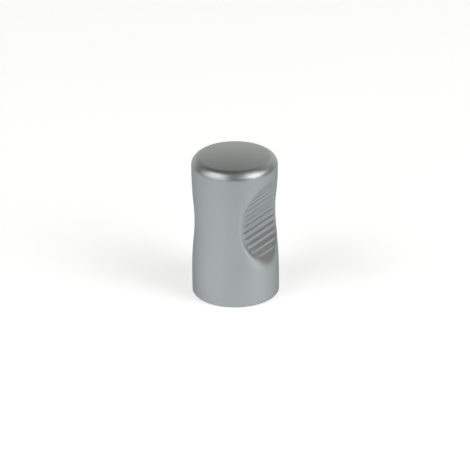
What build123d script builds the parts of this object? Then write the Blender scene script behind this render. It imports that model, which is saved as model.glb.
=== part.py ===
from build123d import *
from math import asin, degrees, radians, sqrt, tan
import os

os.makedirs("parts", exist_ok=True)

# Cabinet knob, one casting. Millimetres, +Z up along the turned axis, origin in the middle of the base.
# The two finger scoops face +X and -X.

# Turned outline
height = 34.2
foot_r = 10.0
foot_straight_h = 5.0
waist_r = 9.73
waist_h = 15.5
head_r = 9.88
head_straight_h = 30.0
crown_r = 66.0
foot_edge_r = 0.6
head_edge_r = 2.1

# Finger scoops: a cylinder lying along Y bites into each side and leaves the grip web between them
scoop_r = 15.7
scoop_h = 19.45
grip_web = 12.66
rim_r = 1.4

# Ribs across each scoop
rib_count = 11
rib_pitch = 1.585
rib_base = 1.1
rib_height = 0.2
rib_tip_r = 0.15
rib_root_depth = 0.1
rib_end_clearance = 0.12

# Blind tapped hole for an M4 screw, left at its wall size
screw_wall_r = 1.65
screw_wall_depth = 13.0
screw_mouth_chamfer = 0.45
drill_tip_angle = 118.0

# Places that follow from the sizes. The rim's rounding starts on the scoop's floor at its own
# depth under the waist, and the ribs stop a clearance before it.
scoop_axis_x = grip_web / 2 + scoop_r
rim_start_r = sqrt(waist_r**2 - 2 * rim_r * (waist_r - grip_web / 2))
rib_end_setback = waist_r - rim_start_r + rib_end_clearance
rib_fan_angle = degrees(rib_pitch / scoop_r) * (rib_count - 1)
rib_half_root = rib_base / 2 * (rib_height + rib_root_depth) / rib_height
drill_tip_h = screw_wall_depth + screw_wall_r / tan(radians(drill_tip_angle / 2))


def turned_outline(setback):
    """Half outline of the knob in the YZ plane, moved inwards by the setback."""
    crown = crown_r - setback
    edge_angle = degrees(asin((head_r - setback) / crown))
    base = Line((0, setback), (foot_r - setback, setback))
    foot = Line(base @ 1, (foot_r - setback, foot_straight_h))
    waist = Spline(
        foot @ 1,
        (waist_r - setback, waist_h),
        (head_r - setback, head_straight_h),
        tangents=[(0, 1), (0, 1), (0, 1)],
    )
    top = CenterArc((0, height - crown_r), crown, 90 - edge_angle, edge_angle)
    Line(waist @ 1, top @ 0)
    Line(top @ 1, base @ 0)


# Section of one rib, tip towards -X, its root sunk into the scoop's floor
with BuildSketch() as rib_section:
    Polygon(
        (rib_root_depth, rib_half_root),
        (-rib_height, 0),
        (rib_root_depth, -rib_half_root),
        align=None,
    )
    fillet(rib_section.vertices().sort_by(Axis.X)[0], rib_tip_r)

# Ribs of both scoops, stopped short of the rim
with BuildPart() as grip_ribs:
    with BuildSketch(Plane.XZ):
        with Locations((scoop_axis_x, scoop_h)):
            with PolarLocations(scoop_r, rib_count, 180 - rib_fan_angle / 2, rib_fan_angle):
                add(rib_section.sketch)
        mirror(about=Plane.YZ)
    extrude(amount=foot_r, both=True)
    with BuildSketch(Plane.YZ):
        with BuildLine():
            turned_outline(rib_end_setback)
        make_face()
    revolve(axis=Axis.Z, mode=Mode.INTERSECT)

# Knob
with BuildPart() as knob_body:
    with BuildSketch(Plane.YZ):
        with BuildLine():
            turned_outline(0)
        make_face()
    revolve(axis=Axis.Z)
    fillet(knob_body.edges().filter_by(Plane.XY).sort_by(Axis.Z)[-1], head_edge_r)
    fillet(knob_body.edges().filter_by(Plane.XY).sort_by(Axis.Z)[0], foot_edge_r)

    # Scoops, their rounded rims and their ribs
    with BuildSketch(Plane.XZ):
        with Locations((scoop_axis_x, scoop_h), (-scoop_axis_x, scoop_h)):
            Circle(scoop_r)
    extrude(amount=foot_r, both=True, mode=Mode.SUBTRACT)
    fillet(knob_body.edges(Select.LAST), rim_r)
    add(grip_ribs.part)

    # Screw hole up from the base, with the cone that its drill leaves
    with BuildSketch(Plane.YZ):
        Polygon(
            (0, 0),
            (screw_wall_r + screw_mouth_chamfer, 0),
            (screw_wall_r, screw_mouth_chamfer),
            (screw_wall_r, screw_wall_depth),
            (0, drill_tip_h),
            align=None,
        )
    revolve(axis=Axis.Z, mode=Mode.SUBTRACT)

knob_body.part.label = "knob_body"
export_step(knob_body.part, "parts/knob_body.step")

print("volume of the knob in cubic millimetres", round(knob_body.part.volume, 1))
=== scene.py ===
# %% [markdown]
# # A satin cabinet knob
#
# The knob is one small casting, plated and finely blasted to a satin finish.
# Two finger scoops bite into its sides, and each has a field of straight grip ribs.
# This lesson gives the knob its finished skin, from the rolled rim of a scoop to the
# thread of its screw hole, and lights it on a white table as a catalogue would.
#
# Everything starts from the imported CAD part. It fixes the place and the size, so the
# first step is to load it and to read its box.

# %% Load the knob's frame
from math import asin, cos, pi, radians, sin, tan

import bmesh
import bpy
import numpy as np
from mathutils import Matrix, Vector


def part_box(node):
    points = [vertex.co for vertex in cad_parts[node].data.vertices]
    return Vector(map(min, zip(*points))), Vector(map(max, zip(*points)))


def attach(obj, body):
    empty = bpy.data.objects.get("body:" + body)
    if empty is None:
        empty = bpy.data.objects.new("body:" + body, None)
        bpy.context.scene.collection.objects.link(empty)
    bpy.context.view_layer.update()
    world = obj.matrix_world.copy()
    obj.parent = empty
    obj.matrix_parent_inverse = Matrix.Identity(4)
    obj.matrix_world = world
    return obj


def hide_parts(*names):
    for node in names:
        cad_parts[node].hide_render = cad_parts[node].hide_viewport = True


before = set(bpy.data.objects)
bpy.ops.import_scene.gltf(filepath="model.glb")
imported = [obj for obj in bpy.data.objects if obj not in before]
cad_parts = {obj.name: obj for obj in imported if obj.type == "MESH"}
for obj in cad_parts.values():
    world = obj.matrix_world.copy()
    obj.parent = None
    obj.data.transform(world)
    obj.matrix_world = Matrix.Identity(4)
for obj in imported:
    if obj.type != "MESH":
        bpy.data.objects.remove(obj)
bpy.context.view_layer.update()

mm = 0.001
knob_low, knob_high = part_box("knob_body")
knob_width = knob_high.y - knob_low.y
knob_height = knob_high.z
print("knob width and height in mm", round(knob_width / mm, 2), round(knob_height / mm, 2))

# %% [markdown]
# ## The camera
#
# A product photo is taken from far away with a long lens, so that the knob keeps
# straight sides. Here the camera stands one metre off and looks down at some 25
# degrees. Its lens follows from how large the knob is in the picture: pixels per
# millimetre, times the distance, is the lens's length in pixels. A hand-held look
# comes from a roll of about half a degree.

# %% Place the camera
picture_width = 470
pixels_per_mm = 4.362
camera_distance = 1.0
camera_azimuth = radians(33.6)
camera_elevation = radians(25.4)
camera_roll = radians(-0.61)
aim = Vector((0, 0, 16.5 * mm))
aim_left_of_middle = -0.055 * mm
aim_above_middle = 2.45 * mm

back = Vector((
    sin(camera_azimuth) * cos(camera_elevation),
    -cos(camera_azimuth) * cos(camera_elevation),
    sin(camera_elevation),
))
right = Vector((cos(camera_azimuth), sin(camera_azimuth), 0))
up = back.cross(right)

camera_data = bpy.data.cameras.new("catalogue_camera")
camera_data.sensor_width = 36
camera_data.lens = pixels_per_mm / mm * camera_distance * camera_data.sensor_width / picture_width
camera_data.clip_start = 0.05
camera_data.clip_end = 20
camera = bpy.data.objects.new("catalogue_camera", camera_data)
bpy.context.scene.collection.objects.link(camera)
bpy.context.scene.camera = camera

rolled_right = right * cos(camera_roll) + up * sin(camera_roll)
rolled_up = up * cos(camera_roll) - right * sin(camera_roll)
camera.matrix_world = Matrix((rolled_right, rolled_up, back)).transposed().to_4x4()
camera.location = aim + back * camera_distance + right * aim_left_of_middle - up * aim_above_middle
print("lens in mm", round(camera_data.lens, 1))

# %% [markdown]
# ## Working with node materials
#
# Each finish below is a short chain of shader nodes. Two small helpers keep the
# chains readable: one adds a node and sets its plain values, the other joins sockets.

# %% Helpers for shader nodes
def add_node(tree, kind, **values):
    """Adds a shader node. A value whose name is one of its inputs sets that input."""
    node = tree.nodes.new("ShaderNode" + kind)
    for name, value in values.items():
        socket = node.inputs.get(name.replace("_", " ").title())
        if socket is None:
            setattr(node, name, value)
        else:
            socket.default_value = value
    return node


def join(tree, source, output, target, entry):
    """Runs a noodle from one node's output to another node's input."""
    tree.links.new(source.outputs[output], target.inputs[entry])


# %% [markdown]
# ## The white table
#
# The knob stands on a matt white board that is only as wide as the picture needs.
# Its width matters, because satin metal mirrors it: faces that lean up a little look
# past its edge into the dark room, and that is what makes the ribs read. Four corners
# and one face are enough for it, and it lies a hair under the knob's base.

# %% Make the table
table_half_width = 0.13
table_front = 0.15
table_depth = 0.3
table_gap = 0.03 * mm
away = Vector((-sin(camera_azimuth), cos(camera_azimuth), 0))

table_shape = bmesh.new()
table_corners = []
for side, forward in ((-1, -table_front), (1, -table_front), (1, table_depth), (-1, table_depth)):
    table_corners.append(table_shape.verts.new(right * side * table_half_width + away * forward))
table_shape.faces.new(table_corners)
table_mesh = bpy.data.meshes.new("white_table")
table_shape.to_mesh(table_mesh)
table_shape.free()
table = bpy.data.objects.new("white_table", table_mesh)
table.location.z = -table_gap
bpy.context.scene.collection.objects.link(table)
print("table width in m", 2 * table_half_width)

# %% [markdown]
# ## The table's paint
#
# The paint is matt and takes the knob's soft shadow. On top of it comes a glow that
# only the camera and the knob's reflections see, each at its own strength. It gives
# the even white of a printed page, and puts no more light on the knob, which more
# lamps would do.

# %% Paint the table
glow_to_camera = 0.41
glow_to_mirrors = 0.235

table_paint = bpy.data.materials.new("matt_white_table")
table_paint.use_nodes = True
tree = table_paint.node_tree
tree.nodes.clear()
paint = add_node(tree, "BsdfDiffuse", color=(0.93, 0.95, 0.96, 1))
ray = add_node(tree, "LightPath")
camera_glow = add_node(tree, "Math", operation="MULTIPLY")
camera_glow.inputs[1].default_value = glow_to_camera
mirror_glow = add_node(tree, "Math", operation="MULTIPLY_ADD")
mirror_glow.inputs[1].default_value = glow_to_mirrors
glow = add_node(tree, "Emission", color=(1, 1, 1, 1))
both = add_node(tree, "AddShader")
surface = add_node(tree, "OutputMaterial")
join(tree, ray, "Is Camera Ray", camera_glow, 0)
join(tree, ray, "Is Glossy Ray", mirror_glow, 0)
join(tree, camera_glow, 0, mirror_glow, 2)
join(tree, mirror_glow, 0, glow, "Strength")
join(tree, paint, 0, both, 0)
join(tree, glow, 0, both, 1)
join(tree, both, 0, surface, "Surface")
table_mesh.materials.append(table_paint)
print("table paint", table_paint.name)

# %% [markdown]
# ## The room and its backdrop
#
# Satin metal shows the room more than it shows itself. A studio is dark, apart from
# the pale backdrop that rises behind the table, and the knob's crown shows just that:
# light at its back, where it mirrors the foot of the backdrop, and dark at its front.
# A colour ramp on the height of a ray paints the backdrop, from its bright foot up
# through three bands to black. The ray's lean towards the back of the room fades the
# backdrop out at the sides. The camera itself sees plain white.

# %% Paint the room
backdrop_foot = (1.44, 1.38, 1.27, 1)
backdrop_bands = ((0.34, 0.87), (0.65, 0.31), (0.87, 0.03))
room_strength = 0.1

room = bpy.data.worlds.new("studio_room")
bpy.context.scene.world = room
room.use_nodes = True
tree = room.node_tree
tree.nodes.clear()
direction = add_node(tree, "TexCoord")
parts = add_node(tree, "SeparateXYZ")
ramp = add_node(tree, "ValToRGB")
heights = ramp.color_ramp.elements
heights[0].color = backdrop_foot
heights[1].color = (0.0, 0.0, 0.0, 1)
for height, bright in backdrop_bands:
    heights.new(height).color = (bright, bright * 0.97, bright * 0.86, 1)
towards_back = add_node(tree, "VectorMath", operation="DOT_PRODUCT")
towards_back.inputs[1].default_value = away
side_fade = add_node(tree, "MapRange", from_min=0.35, from_max=0.97, to_min=0.0, to_max=1.06)
backdrop = add_node(tree, "Background")
dark_room = add_node(tree, "Background", color=(1, 1, 0.95, 1), strength=room_strength)
lit_room = add_node(tree, "AddShader")
white = add_node(tree, "Background", color=(1, 1, 1, 1), strength=1.0)
ray = add_node(tree, "LightPath")
chosen = add_node(tree, "MixShader")
sky = add_node(tree, "OutputWorld")
join(tree, direction, "Generated", parts, 0)
join(tree, direction, "Generated", towards_back, 0)
join(tree, parts, "Z", ramp, 0)
join(tree, towards_back, "Value", side_fade, "Value")
join(tree, ramp, 0, backdrop, "Color")
join(tree, side_fade, 0, backdrop, "Strength")
join(tree, ray, "Is Camera Ray", chosen, 0)
join(tree, backdrop, 0, lit_room, 0)
join(tree, dark_room, 0, lit_room, 1)
join(tree, lit_room, 0, chosen, 1)
join(tree, white, 0, chosen, 2)
join(tree, chosen, 0, sky, "Surface")
print("bands of the backdrop, with its foot and its top", len(heights))

# %% [markdown]
# ## The panels of light
#
# On each side of the camera, a metre off, hang three panels: a soft box high up, a
# wide reflector under it and a lamp low by the table. The upper boxes make the two
# pale streaks on the rounded head edge, and the gap between them stays dark at its
# middle. The reflectors and the low lamps lift the two sides of the wall and the rims
# of the scoops, and leave the wall's middle a little darker. Two more panels stand on
# the right: one high up softens the top of that streak, and a dim one towards the
# back lifts the crown's right part.
#
# Each panel is given as a place on a sphere round the knob. That keeps all of them
# equally far, so a panel's brightness says how strongly it shows in the metal.

# %% Hang the lamps
lamp_distance = 1.0
lamp_tint = (1.0, 0.97, 0.95)
panel_height = 0.317
box_width = 0.39
wide_box = 1.6 * box_width
rear_width = 2 * box_width
reflector_width = 1.2


def soft_box(name, turn, lift, width, brightness):
    """Hangs a panel of light: its turn from the camera's side and its lift are in degrees."""
    lamp = bpy.data.lights.new(name, "AREA")
    lamp.shape = "RECTANGLE"
    lamp.size = width
    lamp.size_y = panel_height
    lamp.color = lamp_tint
    lamp.energy = brightness * pi * width * panel_height
    box = bpy.data.objects.new(name, lamp)
    bpy.context.scene.collection.objects.link(box)
    azimuth = camera_azimuth + radians(turn)
    outward = Vector((
        sin(azimuth) * cos(radians(lift)),
        -cos(azimuth) * cos(radians(lift)),
        sin(radians(lift)),
    ))
    box.location = aim + outward * lamp_distance
    box.rotation_euler = outward.to_track_quat("Z", "Y").to_euler()
    box.visible_camera = False
    return box


lamps = [
    soft_box("left_upper_box", -58, 46, wide_box, 3.45),
    soft_box("left_reflector", -53, 28, reflector_width, 1.0),
    soft_box("left_low_lamp", -53, 10, reflector_width, 2.05),
    soft_box("right_top_lamp", 79, 64, box_width, 1.05),
    soft_box("right_upper_box", 57, 46, box_width, 3.05),
    soft_box("right_reflector", 56, 28, reflector_width, 2.5),
    soft_box("right_low_lamp", 56, 10, box_width, 4.6),
    soft_box("right_rear_panel", 140, 37, rear_width, 0.48),
]
print("lamps", [lamp.name for lamp in lamps])

# %% [markdown]
# ## The turned wall
#
# The knob starts as a turned shape. From the straight foot its wall draws in to a
# faint waist and swells again to the head. An S-shaped ramp between two heights has
# a level start and end, so two of them, one after the other, give the whole wall.

# %% Describe the turned wall
foot_radius = knob_width / 2
foot_straight = 5.0 * mm
waist_radius = 9.73 * mm
waist_height = 15.5 * mm
head_radius = 9.88 * mm
head_straight = 30.0 * mm


def ease(t):
    """An S-shaped ramp from 0 to 1, level at both ends."""
    t = np.clip(t, 0, 1)
    return t * t * (3 - 2 * t)


def wall_radius(z):
    """Radius of the turned wall at each height."""
    drawn_in = ease((z - foot_straight) / (waist_height - foot_straight))
    swelling = ease((z - waist_height) / (head_straight - waist_height))
    to_waist = (waist_radius - foot_radius) * drawn_in
    to_head = (head_radius - waist_radius) * swelling
    return foot_radius + to_waist + to_head


print("wall radius at the waist in mm", round(float(wall_radius(waist_height)) / mm, 3))

# %% [markdown]
# ## The grip ribs
#
# Eleven straight ribs run across the floor of each scoop. One rib is a low roof with
# a softened ridge and foot, repeated at an even pitch along the scoop's arc. This
# step only gives the height of the ribs at any distance along that arc. The next one
# lays the floor through them.

# %% Shape the ribs
rib_count = 11
rib_pitch = 1.585 * mm
rib_base = 1.1 * mm
rib_height = 0.2 * mm
rib_ridge_softness = 0.05 * mm
rib_foot_softness = 0.03 * mm


def rib_rise(arc):
    """Height of the ribs at a distance along the scoop's arc, from its middle."""
    number = np.clip(np.round(arc / rib_pitch), -(rib_count // 2), rib_count // 2)
    from_ridge = np.hypot(arc - number * rib_pitch, rib_ridge_softness)
    roof = rib_height * (1 - from_ridge / (rib_base / 2))
    return (roof + np.hypot(roof, rib_foot_softness)) / 2


print("rib rise in mm", round(float(rib_rise(0.0)) / mm, 3))

# %% [markdown]
# ## The finger scoops and their rolled rim
#
# Each scoop is a piece of a cylinder that lies along Y. Where it cuts the wall, the
# rim is rolled to a radius, which grows towards the scoop's two ends. A bevel modifier
# could round it, but the rim's two faces meet at an angle that changes all the way
# round, and the bevel would pinch. It is steadier to ask one question of any point:
# how far outside the metal is it?
#
# Both faces are first moved inwards by the rim's radius. A point beyond only one of
# them is measured from that face, and a point beyond both is measured from their
# corner. Taking the rim's radius off again leaves a round rim. The floor's ribs
# belong to its face, and run out towards the rim.

# %% Measure how far a point is outside the metal
scoop_radius = 15.7 * mm
scoop_height = 19.45 * mm
grip_web = 12.66 * mm
scoop_axis = grip_web / 2 + scoop_radius
rim_radius = 1.15 * mm
rim_growth = 3.35 * mm
rim_grows_from = 5.0 * mm
rim_grows_over = 5.0 * mm
rib_end_depth = 0.4 * mm
rib_run_out = 0.8 * mm
least_divisor = 1e-9


def outside_metal(radius, turn, z):
    """Distance outside the scooped wall, at a radius, an angle round the knob and a height."""
    x = np.abs(radius * np.cos(turn))
    to_axis = np.hypot(scoop_axis - x, z - scoop_height)
    arc = np.arcsin((z - scoop_height) / to_axis) * scoop_radius
    from_middle = np.abs(z - scoop_height)
    rim = rim_radius + rim_growth * ease((from_middle - rim_grows_from) / rim_grows_over)
    past_wall = radius - wall_radius(z) + rim
    rib_share = ease((wall_radius(z) - radius - rib_end_depth) / rib_run_out)
    past_scoop = scoop_radius - rib_rise(arc) * rib_share - to_axis + rim
    # The cosine of the angle between the two faces' outward directions
    lean = np.abs(np.cos(turn)) * (scoop_axis - x) / to_axis
    square = past_wall**2 + past_scoop**2 - 2 * past_wall * past_scoop * lean
    corner = np.sqrt(np.maximum(square, 0) / np.maximum(1 - lean**2, least_divisor))
    beyond = np.where(past_wall <= past_scoop * lean, past_scoop, corner)
    beyond = np.where(past_scoop <= past_wall * lean, past_wall, beyond)
    return beyond - rim


air_at_middle = float(outside_metal(waist_radius, 0.0, scoop_height))
print("air at the scoop's middle in mm", round(air_at_middle / mm, 2))

# %% [markdown]
# ## From a distance to a radius
#
# The question has no formula that can be turned round to give the skin itself. But a
# level ray from the knob's middle starts in metal and ends in air, so the skin can be
# found by halving: ask at the middle of the ray's stretch, keep the half that holds
# the change, and ask again. Forty halvings leave nothing that could be measured.

# %% Find the skin
surely_metal = grip_web / 4
surely_air = foot_radius * 1.01
halvings = 40


def skin_radius(turn, z):
    """Radius at which a level ray from the middle leaves the metal."""
    inside = np.full(np.broadcast(turn, z).shape, surely_metal)
    outside = np.full_like(inside, surely_air)
    for _ in range(halvings):
        halfway = (inside + outside) / 2
        in_air = outside_metal(halfway, turn, z) > 0
        outside = np.where(in_air, halfway, outside)
        inside = np.where(in_air, inside, halfway)
    return (inside + outside) / 2


print("top of a rib from the middle in mm", round(float(skin_radius(0.0, scoop_height)) / mm, 3))

# %% [markdown]
# ## Rows and columns
#
# The skin is a grid wrapped round the knob. Rows are its heights and columns its
# angles. They crowd where the shape is busy: a rib has fourteen rows, and the columns
# are close across the scoops and wide elsewhere. That holds the face count down
# without losing a ridge.

# %% Lay out the columns and the ribs' rows
scoop_half_turn = 55
fine_columns = 139
wide_columns = 27
rows_per_rib = 14
field_margin = 0.1

fine = np.linspace(-scoop_half_turn, scoop_half_turn, fine_columns)
wide = np.linspace(scoop_half_turn, 180 - scoop_half_turn, wide_columns)[1:-1]
half_round = np.concatenate([fine, wide])
columns = np.radians(np.concatenate([half_round, half_round + 180]))

rib_field = (rib_count / 2 + field_margin) * rib_pitch
rib_arcs = np.arange(-rib_field, rib_field, rib_pitch / rows_per_rib)
rib_rows = scoop_height + (scoop_radius - rib_rise(rib_arcs)) * np.sin(rib_arcs / scoop_radius)
print("columns and rib rows", len(columns), len(rib_rows))

# %% [markdown]
# ## Foot edge, head edge and crown
#
# Above and below the scoops the knob is purely turned, so those rows are points of
# its outline: a quarter round at the foot, a larger round at the head, and a very
# shallow dome. The head's round touches both the wall and the dome. Its centre is
# one round's radius inside the wall, and one inside the dome.

# %% Draw the turned ends
foot_edge = 0.6 * mm
foot_points = 9
head_edge = 2.1 * mm
head_points = 21
dome_radius = 66.0 * mm
dome_points = 17
dome_centre = knob_height - dome_radius
edge_ring = head_radius - head_edge
edge_lean = asin(edge_ring / (dome_radius - head_edge))
edge_centre = dome_centre + (dome_radius - head_edge) * cos(edge_lean)

foot_angles = np.linspace(pi / 2, 0, foot_points)[:-1]
foot_outline = [
    (foot_radius - foot_edge * (1 - cos(a)), foot_edge * (1 - sin(a))) for a in foot_angles
]
head_angles = np.linspace(0, pi / 2 - edge_lean, head_points)
head_outline = [
    (edge_ring + head_edge * cos(a), edge_centre + head_edge * sin(a)) for a in head_angles
]
dome_angles = np.linspace(edge_lean, 0, dome_points)[1:-1]
dome_outline = [
    (dome_radius * sin(a), dome_centre + dome_radius * cos(a)) for a in dome_angles
]
print("head edge starts at mm", round(edge_centre / mm, 2))

# %% [markdown]
# ## The skin's points
#
# Each row becomes a ring of points. The wall's rows are far apart on the straight
# foot, closer where the wall curves, and closest from a little under the scoops up to
# the head. A wall row asks for the metal's radius at every column. Rows of the turned
# ends are plain circles.

# %% Work out the rings
straight_step = 0.9 * mm
curved_step = 0.5 * mm
rim_step = 0.2 * mm
under_the_scoops = 9.0 * mm


def spread(start, stop, step):
    """Evenly spaced places from start up to, but without, stop."""
    count = max(1, round((stop - start) / step))
    return start + (stop - start) * np.arange(count) / count


def ring_points(radius, turns, z):
    """Points of one ring, from one radius or from a radius for each column."""
    return np.column_stack([radius * np.cos(turns), radius * np.sin(turns), np.full(len(turns), z)])


wall_rows = np.concatenate([
    spread(foot_edge, foot_straight, straight_step),
    spread(foot_straight, under_the_scoops, curved_step),
    spread(under_the_scoops, rib_rows[0], rim_step),
    rib_rows,
    spread(rib_rows[-1], head_straight, rim_step)[1:],
    spread(head_straight, edge_centre, curved_step),
])
rings = [ring_points(r, columns, z) for r, z in foot_outline]
rings += [ring_points(skin_radius(columns, z), columns, z) for z in wall_rows]
rings += [ring_points(r, columns, z) for r, z in head_outline + dome_outline]
print("rings", len(rings))

# %% [markdown]
# ## The screw hole
#
# A knob like this is held by one M4 screw from behind, in a blind tapped hole. The
# thread is a wave that climbs one pitch in each turn, so its phase is the height in
# pitches less the part of a turn. It fades in after the mouth's small chamfer and
# out before the drilled bottom, as a tap leaves it. A boolean with a coil would give
# the same groove with broken edges, while rings like the skin's stay clean. The hole
# uses every fourth of the skin's columns, which makes the base easy to close.

# %% Work out the hole's rings
screw_wall = 1.65 * mm
screw_depth = 13.0 * mm
mouth_chamfer = 0.45 * mm
drill_half_angle = radians(118 / 2)
hole_top = screw_depth + screw_wall / tan(drill_half_angle)
thread_pitch = 0.7 * mm
thread_depth = 0.33 * mm
thread_length = 10.5 * mm
thread_fade_in = 0.6 * mm
flank_slope = 2.6
crest_flat = 0.2
rows_per_pitch = 8
skin_steps = 4
hole_columns = columns[::skin_steps]


def thread_groove(turn, z):
    """Depth of the thread's groove: a wave with flattened crests."""
    phase = (z / thread_pitch - turn / (2 * pi)) % 1
    wave = np.clip(flank_slope * np.abs(phase - 0.5) - crest_flat, 0, 1)
    fade = ease((z - mouth_chamfer) / thread_fade_in) * ease((thread_length - z) / thread_pitch)
    return thread_depth * wave * fade


thread_rows = spread(mouth_chamfer, thread_length, thread_pitch / rows_per_pitch)
hole_rings = [ring_points(screw_wall + mouth_chamfer, hole_columns, 0.0)]
for z in thread_rows:
    hole_rings.append(ring_points(screw_wall + thread_groove(hole_columns, z), hole_columns, z))
for z in (thread_length, screw_depth):
    hole_rings.append(ring_points(screw_wall, hole_columns, z))
print("hole rings", len(hole_rings))

# %% [markdown]
# ## One closed mesh
#
# Rings next to each other are joined with four-sided faces, and each end is closed
# with a fan to a point. The flat base lies between the foot's first ring and the
# hole's first ring. Each of its faces takes one step of the hole and the four steps of
# the foot outside it. Blender's bridge tool could join the two rings as well, but it
# pairs points by distance, and it would twist where the columns crowd.

# %% Join the rings
skin = bmesh.new()


def add_rings(ring_list):
    """Adds rings of points and joins each to the next."""
    made = [[skin.verts.new(p) for p in ring] for ring in ring_list]
    for low, high in zip(made, made[1:]):
        for i in range(len(low)):
            j = (i + 1) % len(low)
            skin.faces.new((low[i], low[j], high[j], high[i]))
    return made


def close_end(ring, point):
    """Closes a ring with a fan to one point."""
    tip = skin.verts.new(point)
    for i in range(len(ring)):
        skin.faces.new((ring[i], ring[(i + 1) % len(ring)], tip))


def close_base(foot_ring, mouth_ring):
    """Closes the flat base between the foot and the mouth of the hole."""
    for i in range(len(mouth_ring)):
        steps = range(skin_steps * i, skin_steps * (i + 1) + 1)
        foot_side = [foot_ring[k % len(foot_ring)] for k in steps]
        mouth_side = [mouth_ring[(i + 1) % len(mouth_ring)], mouth_ring[i]]
        skin.faces.new(foot_side + mouth_side)


outer = add_rings(rings)
inner = add_rings(hole_rings)
close_end(outer[-1], (0, 0, knob_height))
close_end(inner[-1], (0, 0, hole_top))
close_base(outer[0], inner[0])
open_edges = sum(not edge.is_manifold for edge in skin.edges)
triangles = sum(len(face.verts) - 2 for face in skin.faces)
print("open edges", open_edges, "triangles", triangles)

# %% [markdown]
# ## Smooth faces and crisp edges
#
# Smooth shading hides the grid on all the rounded metal. Three rings are marked
# sharp: the edge of the flat base and the two ends of the hole's chamfer. That keeps
# the base flat in the light and the chamfer crisp, as a cutter leaves them.

# %% Finish the mesh
def ring_edges(ring):
    """The edges round a ring."""
    return [skin.edges.get((ring[i], ring[i - 1])) for i in range(len(ring))]


bmesh.ops.recalc_face_normals(skin, faces=skin.faces)
for face in skin.faces:
    face.smooth = True
crisp_rings = (outer[0], inner[0], inner[1])
for ring in crisp_rings:
    for edge in ring_edges(ring):
        edge.smooth = False

satin_mesh = bpy.data.meshes.new("satin_knob")
skin.to_mesh(satin_mesh)
skin.free()
satin_knob = bpy.data.objects.new("satin_knob", satin_mesh)
bpy.context.scene.collection.objects.link(satin_knob)
print("points of the skin", len(satin_mesh.vertices))

# %% [markdown]
# ## The satin plating
#
# The plating is bright metal over a finely blasted casting. The blast leaves tiny
# pits, too small to see one by one, which spread every reflection into a soft sheen.
# Roughness does most of that. A fine noise in the bump adds the pits, and a slow
# noise shifts the roughness a little, since no blast is quite even. Fingers rub the
# ridges and the rims, so where the surface is sharply bent outwards it's smoother.

# %% Mix the satin plating
pit_depth = 0.02 * mm

plating = bpy.data.materials.new("satin_plating")
plating.use_nodes = True
tree = plating.node_tree
tree.nodes.clear()
place = add_node(tree, "TexCoord")
pits = add_node(tree, "TexNoise", scale=9000, detail=2.0, roughness=0.6)
drift = add_node(tree, "TexNoise", scale=700, detail=3.0, roughness=0.55)
haze = add_node(tree, "MapRange", from_min=0.3, from_max=0.7, to_min=0.38, to_max=0.42)
bend = add_node(tree, "NewGeometry")
rubbed = add_node(tree, "MapRange", from_min=0.505, from_max=0.55, to_min=0.0, to_max=-0.05)
roughness = add_node(tree, "Math", operation="ADD")
tone = add_node(tree, "Mix", data_type="RGBA")
tone.inputs["A"].default_value = (0.430, 0.464, 0.470, 1)
tone.inputs["B"].default_value = (0.450, 0.484, 0.490, 1)
grain = add_node(tree, "Bump", strength=0.25, distance=pit_depth)
metal = add_node(tree, "BsdfPrincipled", metallic=1.0, specular_tint=(0.58, 0.61, 0.64, 1))
surface = add_node(tree, "OutputMaterial")
join(tree, place, "Object", pits, "Vector")
join(tree, place, "Object", drift, "Vector")
join(tree, drift, "Fac", haze, "Value")
join(tree, drift, "Fac", tone, "Factor")
join(tree, pits, "Fac", grain, "Height")
join(tree, bend, "Pointiness", rubbed, "Value")
join(tree, haze, 0, roughness, 0)
join(tree, rubbed, 0, roughness, 1)
join(tree, roughness, 0, metal, "Roughness")
join(tree, tone, "Result", metal, "Base Color")
join(tree, grain, "Normal", metal, "Normal")
join(tree, metal, 0, surface, "Surface")
satin_mesh.materials.append(plating)
print("finish", plating.name)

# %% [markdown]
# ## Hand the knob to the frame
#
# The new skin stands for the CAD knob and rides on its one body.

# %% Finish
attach(satin_knob, "root")
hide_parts("knob_body")

bpy.context.scene.view_settings.view_transform = "Standard"
